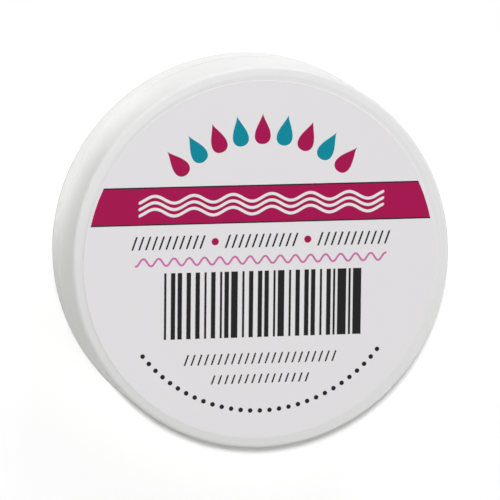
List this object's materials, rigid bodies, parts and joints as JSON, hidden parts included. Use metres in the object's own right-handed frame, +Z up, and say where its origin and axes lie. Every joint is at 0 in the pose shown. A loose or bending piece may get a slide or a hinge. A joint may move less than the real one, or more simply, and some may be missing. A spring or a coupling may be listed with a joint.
{
  "type": "finger moistener",
  "caption": "Low round plastic jar of fingertip moistening compound, with a smooth screw lid, a paper label on the lid, a sealing liner and a dished cake inside.",
  "frame": {"origin": "on the floor, at the middle of the jar's foot ring", "axes": "+Z up along the jar's axis, +Y towards the upper edge of the label, +X to the label's right"},
  "size_m": [0.0452, 0.0452, 0.0123],
  "materials": {
    "white_plastic": "satin",
    "pulpboard": "matte",
    "label_paper": "satin",
    "compound": "satin"
  },
  "bodies": {
    "base": {"jar_base": "white_plastic", "moistener_cake": "compound"},
    "liner": {"cap_liner": "pulpboard"},
    "lid": {"screw_lid": "white_plastic", "lid_label": "label_paper"}
  },
  "joints": [
    {"name": "lid_lift", "type": "slide", "parent": "base", "child": "liner", "axis": [0, 0, 1], "range_m": [0, 0.0128]},
    {"name": "lid_turn", "type": "hinge", "parent": "liner", "child": "lid", "pos_m": [0, 0, 0], "axis": [0, 0, 1], "range_deg": [0, 1080]}
  ],
  "couplings": [
    {"joint": "lid_lift", "follows": "lid_turn", "m_per_rad": 0.00067376}
  ]
}
